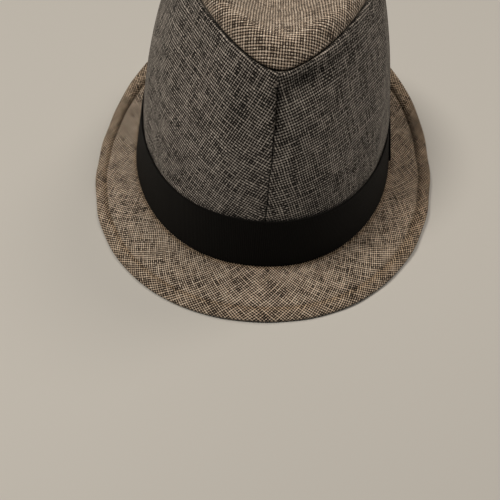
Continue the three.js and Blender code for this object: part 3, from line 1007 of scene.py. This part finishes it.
def ribbon():
    angle, share = np.meshgrid(np.arange(RIBBON_COLUMNS) * 360 / RIBBON_COLUMNS, RIBBON_ROWS)
    base = ribbon_point(angle, share)
    base[..., 2] += GAP * (1 - share)
    out = outward(break_point, angle)
    wave = ripples(np.radians(angle), 3, 3, 14, 6)
    edge = from_middle(share)
    round_off = 0.35 * rising(edge - 0.985, 0.015) ** 2
    belly = RIBBON_BELLY * wave * (1 - edge ** 2) + ridge(edge, *RIBBON_BEAD) - round_off
    lift = EDGE_WAVE * wave * ramp(share, 0.4, 1.0)
    outer = base + out * belly[..., None] + UP * lift[..., None]
    inner = base - out * (RIBBON_BACK - 0.2 * round_off)[..., None] + UP * lift[..., None]
    ribs = np.arange(RIBBON_COLUMNS + 1) / RIBBON_COLUMNS * RIBBON_ROUND / RIB
    height = closed(share) * RIBBON_HEIGHT / RIB
    cloth = np.stack(np.broadcast_arrays(ribs, height), -1)
    shade = 1 - ridge(edge, *RIBBON_LINE_DARK)
    wall("ribbon", outer, inner, cloth, shade, True, BLACK, "hat_band")


def ribbon_fold():
    place, share = np.meshgrid(FOLD_LINES, RIBBON_ROWS)
    turn = math.degrees(FOLD_LENGTH / ((CROWN_LENGTH + CROWN_WIDTH) / 4))
    angle = FOLD_START_ANGLE + turn * place
    margin = FOLD_MARGIN / RIBBON_HEIGHT
    tall = margin + (1 - 2 * margin) * share
    base = ribbon_point(angle, tall)
    out = outward(break_point, angle)
    edge = from_middle(share)
    side = from_middle(place)
    ends = 0.55 * rising(side - 0.955, 0.045) ** 2
    belly = FOLD_BELLY * (1 - side ** 4) * (1 - 0.4 * edge ** 2) - FOLD_SETTLE * share ** 1.5
    front = GAP + FOLD_THICK + belly + ridge(edge, *FOLD_BEAD) - ends
    back = GAP + FOLD_BACK + 0.2 * ends
    outer = base + out * front[..., None]
    inner = base + out * back[..., None]
    cloth = np.stack([place * FOLD_LENGTH, tall * RIBBON_HEIGHT], -1) / RIB
    shade = 1 - ridge(edge, *RIBBON_LINE_DARK)
    wall("ribbon_fold", outer, inner, cloth, shade, False, BLACK, "band_fold")


ribbon()
ribbon_fold()

# Floor, light and camera. The floor and the lamps are in metres.
FLOOR_HALF = 6.0
FLOOR_COLOUR = linear(212, 212, 210)
WORLD_COLOUR = (0.86, 0.93, 1.0, 1)
WORLD_STRENGTH = 0.03
LAMP_DISTANCE = 1.7
LAMP_SIZE = 0.5
LAMP_AIM = (0, -0.02, 0.06)
LAMPS = (  # name, way from the hat, power, colour
    ("lamp_left", (-0.50, 0.0, 0.87), 14.7, (1.0, 0.91, 0.79)),
    ("lamp_right", (0.45, 0.1, 0.89), 4.6, (1.0, 0.90, 0.78)),
    ("lamp_back", (0.50, 0.5, 0.70), 4.4, (1.0, 0.89, 0.76)),
    ("lamp_over", (0.05, 0.36, 0.94), 2.4, (1.0, 0.90, 0.78)),
)
PICTURE_SIDE = 500  # pixels, like the focal length and the centre
FOCAL_LENGTH = 469.746
PICTURE_CENTRE = (251.248, 300.0)
CAMERA_ELEVATION = 63.434
CAMERA_AZIMUTH = -0.058
CAMERA_ROLL = 3.889
CAMERA_DISTANCE = 276.582
CAMERA_TARGET = (-1.13, -120.944, 3.127)
SENSOR = 36
CLIP_START = 0.01


def floor():
    mesh = bpy.data.meshes.new("floor")
    corners = [(-1, -1, 0), (1, -1, 0), (1, 1, 0), (-1, 1, 0)]
    mesh.from_pydata([(x * FLOOR_HALF, y * FLOOR_HALF, z) for x, y, z in corners], [], [(0, 1, 2, 3)])
    plane = bpy.data.objects.new("floor", mesh)
    bpy.context.scene.collection.objects.link(plane)
    make = Nodes("floor_plain")
    make.surface("Base Color", (*FLOOR_COLOUR, 1))
    make.surface("Roughness", 0.6)
    mesh.materials.append(make.material)


def lamp(name, towards, power, colour):
    data = bpy.data.lights.new(name, "AREA")
    data.shape = "DISK"
    data.size = LAMP_SIZE
    data.energy = power
    data.color = colour
    source = bpy.data.objects.new(name, data)
    bpy.context.scene.collection.objects.link(source)
    way = Vector(towards).normalized()
    source.location = Vector(LAMP_AIM) + way * LAMP_DISTANCE
    source.rotation_mode = "QUATERNION"
    source.rotation_quaternion = way.to_track_quat("Z", "Y")


def lights():
    world = bpy.data.worlds.new("soft")
    world.use_nodes = True
    colour, strength = world.node_tree.nodes["Background"].inputs[:2]
    colour.default_value = WORLD_COLOUR
    strength.default_value = WORLD_STRENGTH
    bpy.context.scene.world = world
    for row in LAMPS:
        lamp(*row)


def camera():
    el, az, roll = (math.radians(v) for v in (CAMERA_ELEVATION, CAMERA_AZIMUTH, CAMERA_ROLL))
    back = Vector((math.sin(az) * math.cos(el), -math.cos(az) * math.cos(el), math.sin(el)))
    level_right = (-back).cross(Vector(UP)).normalized()
    level_up = level_right.cross(-back)
    right = level_right * math.cos(roll) + level_up * math.sin(roll)
    up = level_up * math.cos(roll) - level_right * math.sin(roll)
    centre_x, centre_y = PICTURE_CENTRE
    data = bpy.data.cameras.new("camera")
    data.sensor_width = SENSOR
    data.lens = FOCAL_LENGTH / PICTURE_SIDE * SENSOR
    data.shift_x = (PICTURE_SIDE / 2 - centre_x) / PICTURE_SIDE
    data.shift_y = (centre_y - PICTURE_SIDE / 2) / PICTURE_SIDE
    data.clip_start = CLIP_START
    eye = bpy.data.objects.new("camera", data)
    bpy.context.scene.collection.objects.link(eye)
    place = (Vector(CAMERA_TARGET) + Vector(SHIFT) + back * CAMERA_DISTANCE) * MM
    eye.matrix_world = Matrix((
        (right.x, up.x, back.x, place.x),
        (right.y, up.y, back.y, place.y),
        (right.z, up.z, back.z, place.z),
        (0, 0, 0, 1),
    ))
    bpy.context.scene.camera = eye


floor()
lights()
camera()
bpy.context.scene.view_settings.view_transform = "Standard"
